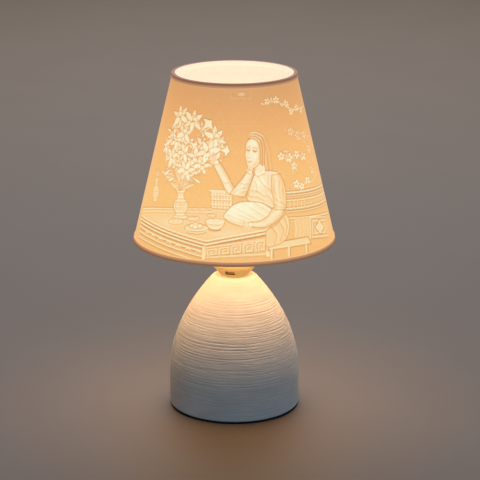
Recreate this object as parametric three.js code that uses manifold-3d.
// A bedside table lamp: a hollow ceramic base, a plastic screw lampholder, a bulb, and a conical
// shade on a wire fitter. Millimetres, +Z up. The origin is the middle of the foot's underside,
// and the front of the lamp faces -Y.
import * as THREE from "three";
import { mergeVertices } from "three/addons/utils/BufferGeometryUtils.js";
import Module from "manifold-3d";

const wasm = await Module();
wasm.setup();

// ---- Driving dimensions ----

// Clearance between pieces that touch, and between the flanks of mating threads.
const GAP = 0.3;
const THREAD_GAP = 0.5;

// The base is a straight wall that closes to an ogive: radius * (1 - ((z - rise) / span) ^ power).
const BASE = {
  radius: 60,
  bottom: 1.8,
  rise: 29,
  span: 115,
  power: 2.08,
  shoulder: 121.9,
  top: 124.3,
  seatRadius: 17,
  wall: 5.5,
  bossUnderside: 115.5,
  tubeHole: 5.5,
};
const FOOT = { radius: 59.4, thickness: 1.5 };
const COVER = { radius: 55, thickness: 2.2, rebate: 55.4 };
const INLET = { height: 14, hole: 5.6, body: 5.2, bore: 3.3, flange: 7.8, flangeDepth: 1.6 };

const TUBE = { radius: 5, bore: 3.9, bottom: 104, top: 137 };
const NUT = { flats: 14, height: 5, washer: 12, washerThickness: 1.5 };

// The lampholder: a flared cap on the base, then a skirt with a shoulder and an outer thread.
const CAP = {
  footRadius: 12.8,
  flareTop: 132.6,
  radius: 20.2,
  roundTop: 134.6,
  top: 150,
  wall: 1.8,
  floor: 2.4,
};
const WINDOW = { azimuth: -14, width: 8.6, low: 127.6, high: 131.5 };
const SKIRT = {
  spigotBottom: 143,
  spigotRadius: 18,
  bore: 15.9,
  shoulder: 158.2,
  shoulderRadius: 23.5,
  shoulderThickness: 2,
  top: 187,
};
const BLOCK = { radius: 15.5, bottom: 144.5, top: 163, screwOffset: 9 };

// Rounded right-hand threads. radius is the middle of the outer thread's flank.
const SHADE_THREAD = { radius: 19.1, half: 0.4, pitch: 2.5 };
const BULB_THREAD = { radius: 12.6, half: 0.5, pitch: 3.629 };

// The shade's outer surface is a straight cone between these two rims.
const SHADE = {
  bottom: 159.6,
  bottomRadius: 91.5,
  top: 311.7,
  topRadius: 55.4,
  wall: 1.2,
  wireRadius: 1.3,
  tape: 0.45,
  bandHeight: 3,
};
const FITTER = { radius: 26, bore: 20.4, thickness: 1.6, wire: 1.25 };
const SPOKE_AZIMUTHS = [-8, 49, 172, 229];
const SLIP = { radius: 25, bore: 20, thickness: 0.6 };
const SHADE_NUT = { flange: 27.5, flangeHeight: 2.6, collar: 23, height: 8.4 };

const BULB = {
  tip: 165.6,
  buttonRadius: 4.6,
  buttonHeight: 1.5,
  insulatorHeight: 3.2,
  capTop: 191,
  globeCentre: 243.3,
  globeRadius: 30,
  globeRim: 226.5,
  globeWall: 1.3,
  neckRadius: 13.6,
  rimRadius: 25,
};

// Facets round each family of turned pieces.
const SIDES = { base: 36, shade: 60, holder: 24, bulbThread: 20, bulb: 24, small: 12 };

// ---- Heights that follow from the dimensions ----

const capBottom = BASE.top + GAP;
const skirtLip = CAP.top + GAP;
const shoulderTop = SKIRT.shoulder + SKIRT.shoulderThickness;
const fitterBottom = shoulderTop + GAP;
const fitterMiddle = fitterBottom + FITTER.thickness / 2;
const slipBottom = fitterBottom + FITTER.thickness + GAP;
const shadeNutBottom = slipBottom + SLIP.thickness + GAP;
const shellBottom = BLOCK.top + GAP;
const bulbCapBottom = BULB.tip + BULB.buttonHeight + BULB.insulatorHeight + 2 * GAP;

// ---- Colours ----

const FINISH = {
  ceramic: { color: 0xe9e6df, roughness: 0.75, metalness: 0 },
  foam: { color: 0x1c1a19, roughness: 0.95, metalness: 0 },
  board: { color: 0x8a7355, roughness: 0.9, metalness: 0 },
  rubber: { color: 0x24221f, roughness: 0.8, metalness: 0 },
  steel: { color: 0xb9bcc0, roughness: 0.35, metalness: 1 },
  brass: { color: 0xc9a356, roughness: 0.35, metalness: 1 },
  holder: { color: 0xf0e6d4, roughness: 0.45, metalness: 0 },
  insert: { color: 0xe8e4dc, roughness: 0.6, metalness: 0 },
  shade: { color: 0xf3dcb6, roughness: 0.7, metalness: 0 },
  tape: { color: 0xc49a72, roughness: 0.8, metalness: 0 },
  bulb: { color: 0xf6f1e6, roughness: 0.4, metalness: 0 },
  circuit: { color: 0x2f6b45, roughness: 0.6, metalness: 0 },
};

// ---- Geometry helpers ----

function radians(degrees) {
  return (degrees * Math.PI) / 180;
}

// Evenly spaced values from first to last, both included.
function steps(first, last, count) {
  return Array.from({ length: count + 1 }, (_, i) => first + ((last - first) * i) / count);
}

function signedArea(profile) {
  return profile.reduce((sum, [r, z], i) => {
    const [nextR, nextZ] = profile[(i + 1) % profile.length];
    return sum + (r * nextZ - nextR * z) / 2;
  }, 0);
}

// A solid of revolution about +Z from a closed outline of [radius, height] points.
function turned(profile, sides) {
  const outline = signedArea(profile) > 0 ? profile : [...profile].reverse();
  const closed = [...outline, outline[0]];
  const points = closed.map(([r, z]) => new THREE.Vector2(r, z));
  return new THREE.LatheGeometry(points, sides).rotateX(Math.PI / 2);
}

// A plain ring or disc between two heights.
function ring(inner, outer, bottom, top, sides) {
  return turned(
    [
      [inner, bottom],
      [outer, bottom],
      [outer, top],
      [inner, top],
    ],
    sides,
  );
}

// Turns the plain wall at the given radius into a rounded right-hand thread. An outer thread
// fades down to its root at both ends, and an inner one fades out to its root, so that two
// mating threads stay clear of each other all the way along.
function threaded(geometry, { radius, half, pitch, from, to, inner }) {
  const position = geometry.attributes.position;
  for (let i = 0; i < position.count; i++) {
    const x = position.getX(i);
    const y = position.getY(i);
    const z = position.getZ(i);
    const r = Math.hypot(x, y);
    const onWall = Math.abs(r - radius) < 0.01 && z > from - 0.01 && z < to + 0.01;
    if (!onWall) continue;
    const wave = Math.cos((2 * Math.PI * z) / pitch - Math.atan2(y, x));
    const fade = THREE.MathUtils.smoothstep(Math.min(z - from, to - z), 0, pitch / 2);
    const target = inner
      ? radius + half - half * (1 - wave) * fade
      : radius - half + half * (1 + wave) * fade;
    position.setXYZ(i, (x * target) / r, (y * target) / r, z);
  }
  return geometry;
}

// The rows of wall points that a thread needs: a few for each turn.
function threadWall({ radius, pitch, from, to }, rowsPerTurn) {
  const rows = Math.round(((to - from) / pitch) * rowsPerTurn);
  return steps(from, to, rows).map((z) => [radius, z]);
}

function solid(geometry) {
  const bare = geometry.clone();
  bare.deleteAttribute("normal");
  bare.deleteAttribute("uv");
  const merged = mergeVertices(bare, 1e-4);
  return new wasm.Manifold(
    new wasm.Mesh({
      numProp: 3,
      vertProperties: new Float32Array(merged.attributes.position.array),
      triVerts: new Uint32Array(merged.index.array),
    }),
  );
}

function geometryOf(body) {
  const mesh = body.getMesh();
  const geometry = new THREE.BufferGeometry();
  const positions = new Float32Array(mesh.vertProperties);
  geometry.setAttribute("position", new THREE.BufferAttribute(positions, 3));
  geometry.setIndex(new THREE.BufferAttribute(new Uint32Array(mesh.triVerts), 1));
  geometry.computeVertexNormals();
  return geometry;
}

function cut(geometry, ...tools) {
  return geometryOf(tools.reduce((body, tool) => body.subtract(solid(tool)), solid(geometry)));
}

function join(geometry, ...others) {
  return geometryOf(others.reduce((body, other) => body.add(solid(other)), solid(geometry)));
}

// An upright cylinder between two heights, with its axis at (x, y).
function post(radius, bottom, top, sides, x = 0, y = 0) {
  const height = top - bottom;
  return new THREE.CylinderGeometry(radius, radius, height, sides)
    .rotateX(Math.PI / 2)
    .translate(x, y, bottom + height / 2);
}

// A box between two corners.
function block(low, high) {
  const size = high.map((value, axis) => value - low[axis]);
  const middle = high.map((value, axis) => (value + low[axis]) / 2);
  return new THREE.BoxGeometry(...size).translate(...middle);
}

// A cylinder that lies along +Y between two distances from the axis of the lamp.
function crossPost(radius, near, far, height, sides) {
  return new THREE.CylinderGeometry(radius, radius, far - near, sides).translate(
    0,
    (near + far) / 2,
    height,
  );
}

const lamp = new THREE.Group();

function add(name, geometry, finish) {
  const mesh = new THREE.Mesh(geometry, new THREE.MeshStandardMaterial(FINISH[finish]));
  mesh.name = name;
  lamp.add(mesh);
  return mesh;
}

// ---- Base ----

function baseRadius(z) {
  const t = Math.max(0, (z - BASE.rise) / BASE.span);
  return BASE.radius * (1 - t ** BASE.power);
}

// The rounded shoulder between the ogive and the flat seat for the lampholder.
function shoulderPoints(count) {
  const start = new THREE.Vector2(baseRadius(BASE.shoulder), BASE.shoulder);
  const slope = (baseRadius(BASE.shoulder) - baseRadius(BASE.shoulder - 1)) * (BASE.top - start.y);
  const corner = new THREE.Vector2(start.x + slope, BASE.top);
  const end = new THREE.Vector2(BASE.seatRadius, BASE.top);
  return new THREE.QuadraticBezierCurve(start, corner, end).getPoints(count).map((p) => [p.x, p.y]);
}

function baseShell() {
  const footRound = 1.6;
  const innerTop = BASE.bossUnderside - 4;
  const outside = [
    [BASE.radius - footRound, BASE.bottom],
    [BASE.radius - footRound * 0.3, BASE.bottom + footRound * 0.3],
    [BASE.radius, BASE.bottom + footRound],
    ...steps(BASE.rise, BASE.shoulder - 3, 10).map((z) => [baseRadius(z), z]),
    ...shoulderPoints(3),
  ];
  const inside = [
    [BASE.tubeHole, BASE.top],
    [BASE.tubeHole, BASE.bossUnderside],
    [NUT.washer + 2, BASE.bossUnderside],
    ...steps(innerTop, BASE.rise, 5).map((z) => [baseRadius(z) - BASE.wall, z]),
    [BASE.radius - BASE.wall - 2, BASE.bottom + COVER.thickness + 2 * GAP],
    [COVER.rebate, BASE.bottom + COVER.thickness + 2 * GAP],
    [COVER.rebate, BASE.bottom],
  ];
  const shell = turned([...outside, ...inside], SIDES.base);
  const inletHole = crossPost(INLET.hole, BASE.radius - 12, BASE.radius + 4, INLET.height, 16);
  return cut(shell, inletHole);
}

function cordInlet() {
  const flangeStart = BASE.radius + GAP;
  const body = crossPost(INLET.body, BASE.radius - 9, flangeStart + 0.5, INLET.height, 16);
  const flange = crossPost(
    INLET.flange,
    flangeStart,
    flangeStart + INLET.flangeDepth,
    INLET.height,
    16,
  );
  const bore = crossPost(INLET.bore, BASE.radius - 14, BASE.radius + 8, INLET.height, 12);
  return cut(join(body, flange), bore);
}

add("foot_pad", ring(0, FOOT.radius, 0, FOOT.thickness, SIDES.base), "foam");
const coverBottom = BASE.bottom + GAP;
add(
  "bottom_cover",
  ring(0, COVER.radius, coverBottom, coverBottom + COVER.thickness, SIDES.base),
  "board",
);
add("base_shell", baseShell(), "ceramic");
add("cord_inlet", cordInlet(), "rubber");

// ---- Threaded tube and its nut ----

const washerTop = BASE.bossUnderside - GAP;
const nutTop = washerTop - NUT.washerThickness - GAP;

function hexNut() {
  const corner = NUT.flats / 2 / Math.cos(Math.PI / 6);
  const body = post(corner, nutTop - NUT.height, nutTop, 6);
  return cut(body, post(TUBE.radius + GAP, nutTop - NUT.height - 1, nutTop + 1, SIDES.small));
}

add("nipple_tube", ring(TUBE.bore, TUBE.radius, TUBE.bottom, TUBE.top, SIDES.small), "steel");
add(
  "nipple_washer",
  ring(TUBE.radius + GAP, NUT.washer, nutTop + GAP, washerTop, SIDES.small),
  "steel",
);
add("nipple_nut", hexNut(), "steel");

// ---- Lampholder ----

function capRadius(z) {
  const t = (z - capBottom) / (CAP.flareTop - capBottom);
  return THREE.MathUtils.lerp(CAP.footRadius, CAP.radius - 0.6, t);
}

// The cap's window, as a box that cuts through the front wall at the window's azimuth.
function windowCutter(sideGrow, innerRadius) {
  const half = WINDOW.width / 2 + sideGrow;
  return block(
    [-half, -CAP.radius - 2, WINDOW.low - sideGrow],
    [half, -innerRadius, WINDOW.high + sideGrow],
  ).rotateZ(radians(WINDOW.azimuth));
}

function holderCap() {
  const tubeFit = TUBE.radius + GAP;
  const neck = tubeFit + 2.6;
  const profile = [
    [tubeFit, capBottom],
    [CAP.footRadius, capBottom],
    [capRadius(CAP.flareTop), CAP.flareTop],
    [CAP.radius, CAP.roundTop],
    [CAP.radius, CAP.top],
    [CAP.radius - CAP.wall, CAP.top],
    [CAP.radius - CAP.wall, CAP.roundTop],
    [capRadius(CAP.flareTop) - CAP.wall - 0.4, CAP.flareTop],
    [CAP.footRadius - CAP.wall, capBottom + CAP.floor],
    [neck, capBottom + CAP.floor],
    [neck, TUBE.top - 1],
    [tubeFit, TUBE.top - 1],
  ];
  return cut(turned(profile, SIDES.holder), windowCutter(0, neck + 1));
}

// A wedge in the window that is pushed in to lock the cap on the tube. Its face is arched.
function nippleLock() {
  const half = WINDOW.width / 2 - GAP;
  const low = WINDOW.low + GAP;
  const crown = 2.1;
  const face = new THREE.Shape();
  face.moveTo(-half, low);
  face.lineTo(half, low);
  face.lineTo(half, low + crown * 0.5);
  face.quadraticCurveTo(0, low + crown * 1.5, -half, low + crown * 0.5);
  const depth = 2.6;
  const wedge = new THREE.ExtrudeGeometry(face, { depth, bevelEnabled: false, curveSegments: 6 });
  wedge.rotateX(Math.PI / 2).translate(0, -TUBE.radius - 5.4, 0);
  return wedge.rotateZ(radians(WINDOW.azimuth));
}

function holderBody() {
  const root = SHADE_THREAD.radius - SHADE_THREAD.half;
  const zone = { ...SHADE_THREAD, from: shadeNutBottom, to: SKIRT.top - 3, inner: false };
  const profile = [
    [SKIRT.bore, SKIRT.spigotBottom],
    [SKIRT.spigotRadius, SKIRT.spigotBottom],
    [SKIRT.spigotRadius, skirtLip],
    [CAP.radius, skirtLip],
    [CAP.radius, SKIRT.shoulder],
    [SKIRT.shoulderRadius, SKIRT.shoulder],
    [SKIRT.shoulderRadius, shoulderTop],
    [root, shoulderTop],
    ...threadWall(zone, 4),
    [root, SKIRT.top - 1.4],
    [root - 1, SKIRT.top],
    [SKIRT.bore, SKIRT.top],
  ];
  return threaded(turned(profile, SIDES.holder), zone);
}

function contactBlock() {
  const body = ring(0, BLOCK.radius, BLOCK.bottom, BLOCK.top, SIDES.holder);
  const pockets = [-1, 1].flatMap((side) => [
    post(3.4, BLOCK.bottom - 1, BLOCK.bottom + 3, SIDES.small, side * BLOCK.screwOffset),
    post(1.9, BLOCK.bottom - 1, BLOCK.bottom + 11, SIDES.small, side * BLOCK.screwOffset),
    block(
      [side * BLOCK.screwOffset - 2.5, -BLOCK.radius - 1, BLOCK.bottom + 5],
      [side * BLOCK.screwOffset + 2.5, 0, BLOCK.bottom + 9],
    ),
  ]);
  return cut(body, ...pockets);
}

function terminalScrew(side) {
  const x = side * BLOCK.screwOffset;
  const headBottom = BLOCK.bottom + 0.4;
  const headTop = BLOCK.bottom + 2.6;
  const head = post(3, headBottom, headTop, SIDES.small, x);
  const shank = post(1.5, headTop - 0.5, BLOCK.bottom + 10, SIDES.small, x);
  const slot = block([x - 4, -0.4, headBottom - 1], [x + 4, 0.4, headBottom + 0.9]);
  return cut(join(head, shank), slot);
}

function screwShell() {
  const zone = {
    radius: BULB_THREAD.radius + THREAD_GAP,
    half: BULB_THREAD.half,
    pitch: BULB_THREAD.pitch,
    from: shellBottom + 1,
    to: SKIRT.top - 1.5,
    inner: true,
  };
  const outside = zone.radius + zone.half + 0.7;
  const profile = [
    [outside, shellBottom],
    [outside, zone.to],
    ...threadWall(zone, 4).reverse(),
    [zone.radius + zone.half, shellBottom],
  ];
  return threaded(turned(profile, SIDES.bulbThread), zone);
}

// A bent bronze strip: a foot on the block and a tongue that rises under the bulb's button.
function centreContact() {
  const low = BLOCK.top + GAP;
  const high = BULB.tip - GAP;
  const strip = 0.5;
  const outline = new THREE.Shape();
  outline.moveTo(-8, low);
  outline.lineTo(-2.5, low);
  outline.lineTo(0, high - strip);
  outline.lineTo(3.5, high - strip);
  outline.lineTo(3.5, high);
  outline.lineTo(-0.3, high);
  outline.lineTo(-2.8, low + strip);
  outline.lineTo(-8, low + strip);
  const width = 4;
  const tongue = new THREE.ExtrudeGeometry(outline, { depth: width, bevelEnabled: false });
  return tongue.rotateX(Math.PI / 2).translate(0, width / 2, 0);
}

add("holder_cap", holderCap(), "holder");
add("nipple_lock", nippleLock(), "holder");
add("holder_body", holderBody(), "holder");
add("contact_block", contactBlock(), "insert");
add("terminal_screw_live", terminalScrew(-1), "brass");
add("terminal_screw_neutral", terminalScrew(1), "brass");
add("screw_shell", screwShell(), "brass");
add("centre_contact", centreContact(), "brass");

// ---- Shade ----

function shadeRadius(z) {
  const t = (z - SHADE.bottom) / (SHADE.top - SHADE.bottom);
  return THREE.MathUtils.lerp(SHADE.bottomRadius, SHADE.topRadius, t);
}

function shadeWall() {
  const profile = [SHADE.bottom, SHADE.top].map((z) => [shadeRadius(z), z]);
  const inside = [...profile].reverse().map(([r, z]) => [r - SHADE.wall, z]);
  return turned([...profile, ...inside], SIDES.shade);
}

// The edge wire's middle sits inside the wall, and end is +1 at the top rim and -1 at the bottom.
function wireHeight(end) {
  return end > 0 ? SHADE.top - SHADE.wireRadius : SHADE.bottom + SHADE.wireRadius + 0.2;
}

function wireMiddle(end) {
  return shadeRadius(wireHeight(end)) - SHADE.wall - 1.5 * GAP - SHADE.wireRadius;
}

function edgeWire(end) {
  return new THREE.TorusGeometry(wireMiddle(end), SHADE.wireRadius, 6, SIDES.shade).translate(
    0,
    0,
    wireHeight(end),
  );
}

// A strip folded over the wall's edge and the wire. The bottom strip has no inner leg, because
// the fitter's spokes meet the wire there.
function edging(end) {
  const edge = end > 0 ? SHADE.top : SHADE.bottom;
  const cover = edge + end * GAP;
  const back = cover + end * SHADE.tape;
  const legEnd = edge - end * SHADE.bandHeight;
  const outer = (z) => shadeRadius(z) + GAP;
  const inner = wireMiddle(end) - SHADE.wireRadius - GAP;
  const outside = [
    [outer(legEnd), legEnd],
    [outer(legEnd) + SHADE.tape, legEnd],
    [outer(edge) + SHADE.tape, back],
  ];
  const inside = [
    [inner - SHADE.tape, back],
    [inner - SHADE.tape, legEnd],
    [inner, legEnd],
    [inner, cover],
  ];
  const underWire = [
    [wireMiddle(end), back],
    [wireMiddle(end), cover],
  ];
  const wrap = end > 0 ? inside : underWire;
  return turned([...outside, ...wrap, [outer(edge), cover]], SIDES.shade);
}

function fitterSpoke(azimuth) {
  const start = FITTER.radius + GAP;
  const end = wireMiddle(-1) - SHADE.wireRadius - GAP;
  const wire = new THREE.CylinderGeometry(FITTER.wire, FITTER.wire, end - start, 8);
  wire.rotateZ(Math.PI / 2).translate((start + end) / 2, 0, fitterMiddle);
  return wire.rotateZ(radians(azimuth));
}

add("shade_wall", shadeWall(), "shade");
add("top_wire", edgeWire(1), "steel");
add("bottom_wire", edgeWire(-1), "steel");
add("top_edging", edging(1), "tape");
add("bottom_edging", edging(-1), "tape");
add(
  "fitter_ring",
  ring(FITTER.bore, FITTER.radius, fitterBottom, fitterBottom + FITTER.thickness, SIDES.holder),
  "steel",
);
SPOKE_AZIMUTHS.forEach((azimuth, i) => {
  add(`fitter_spoke_${i + 1}`, fitterSpoke(azimuth), "steel");
});

// ---- Shade nut ----

function shadeNut() {
  const top = shadeNutBottom + SHADE_NUT.height;
  const flangeTop = shadeNutBottom + SHADE_NUT.flangeHeight;
  const zone = {
    radius: SHADE_THREAD.radius + THREAD_GAP,
    half: SHADE_THREAD.half,
    pitch: SHADE_THREAD.pitch,
    from: shadeNutBottom,
    to: top,
    inner: true,
  };
  const profile = [
    [SHADE_NUT.flange, shadeNutBottom],
    [SHADE_NUT.flange, flangeTop],
    [SHADE_NUT.collar, flangeTop + 0.6],
    [SHADE_NUT.collar, top],
    ...threadWall(zone, 4).reverse(),
  ];
  return threaded(turned(profile, SIDES.holder), zone);
}

add(
  "slip_washer",
  ring(SLIP.bore, SLIP.radius, slipBottom, slipBottom + SLIP.thickness, SIDES.holder),
  "board",
);
add("shade_nut", shadeNut(), "holder");

// ---- Bulb ----

function bulbCap() {
  const root = BULB_THREAD.radius - BULB_THREAD.half;
  const zone = { ...BULB_THREAD, from: bulbCapBottom + 0.6, to: BULB.capTop - 4, inner: false };
  const profile = [
    [root - 1, bulbCapBottom],
    [root - 0.3, bulbCapBottom],
    ...threadWall(zone, 4),
    [root + 0.2, BULB.capTop - 2],
    [root + 0.6, BULB.capTop],
    [root - 1, BULB.capTop],
  ];
  return threaded(turned(profile, SIDES.bulbThread), zone);
}

function bulbInsulator() {
  const bottom = BULB.tip + BULB.buttonHeight + GAP;
  const top = bulbCapBottom - GAP;
  const profile = [
    [0, bottom],
    [BULB.buttonRadius + 1, bottom],
    [BULB_THREAD.radius - 1.6, top - 0.8],
    [BULB_THREAD.radius - 1.6, top],
    [0, top],
  ];
  return turned(profile, SIDES.bulbThread);
}

function bulbButton() {
  const top = BULB.tip + BULB.buttonHeight;
  const profile = [
    [0, BULB.tip],
    [BULB.buttonRadius - 1.6, BULB.tip],
    [BULB.buttonRadius, BULB.tip + 0.7],
    [BULB.buttonRadius, top],
    [0, top],
  ];
  return turned(profile, SIDES.small);
}

// The collar's outline: a narrow neck that opens to the globe's rim along a smooth curve.
function bulbHousing() {
  const bottom = BULB.capTop + GAP;
  const top = BULB.globeRim - GAP;
  const neck = new THREE.Vector2(BULB.neckRadius, bottom);
  const rim = new THREE.Vector2(BULB.rimRadius, top);
  const bend = new THREE.Vector2(BULB.neckRadius + 2.4, top - 18);
  const outside = new THREE.QuadraticBezierCurve(neck, bend, rim).getPoints(5);
  const shell = 1.6;
  const inside = [...outside].reverse().map((p) => [p.x - shell, p.y]);
  return turned([...outside.map((p) => [p.x, p.y]), ...inside], SIDES.bulb);
}

function bulbGlobe() {
  const drop = BULB.globeCentre - BULB.globeRim;
  const arc = (radius) => {
    const start = Math.asin(-drop / radius);
    return steps(start, Math.PI / 2, 9).map((a) => [
      Math.cos(a) * radius,
      BULB.globeCentre + Math.sin(a) * radius,
    ]);
  };
  const outside = arc(BULB.globeRadius);
  const inside = arc(BULB.globeRadius - BULB.globeWall).reverse();
  outside[outside.length - 1][0] = 0;
  inside[0][0] = 0;
  return turned([...outside, ...inside], SIDES.bulb);
}

add("bulb_contact", bulbButton(), "steel");
add("bulb_insulator", bulbInsulator(), "rubber");
add("bulb_cap", bulbCap(), "steel");
add("bulb_housing", bulbHousing(), "bulb");
add("bulb_driver", block([-8, -0.8, 186], [8, 0.8, BULB.globeRim - 4]), "circuit");
add(
  "bulb_board",
  ring(0, BULB.rimRadius - 4, BULB.globeRim, BULB.globeRim + 1.6, SIDES.bulb),
  "insert",
);
add("bulb_globe", bulbGlobe(), "bulb");

export default lamp;
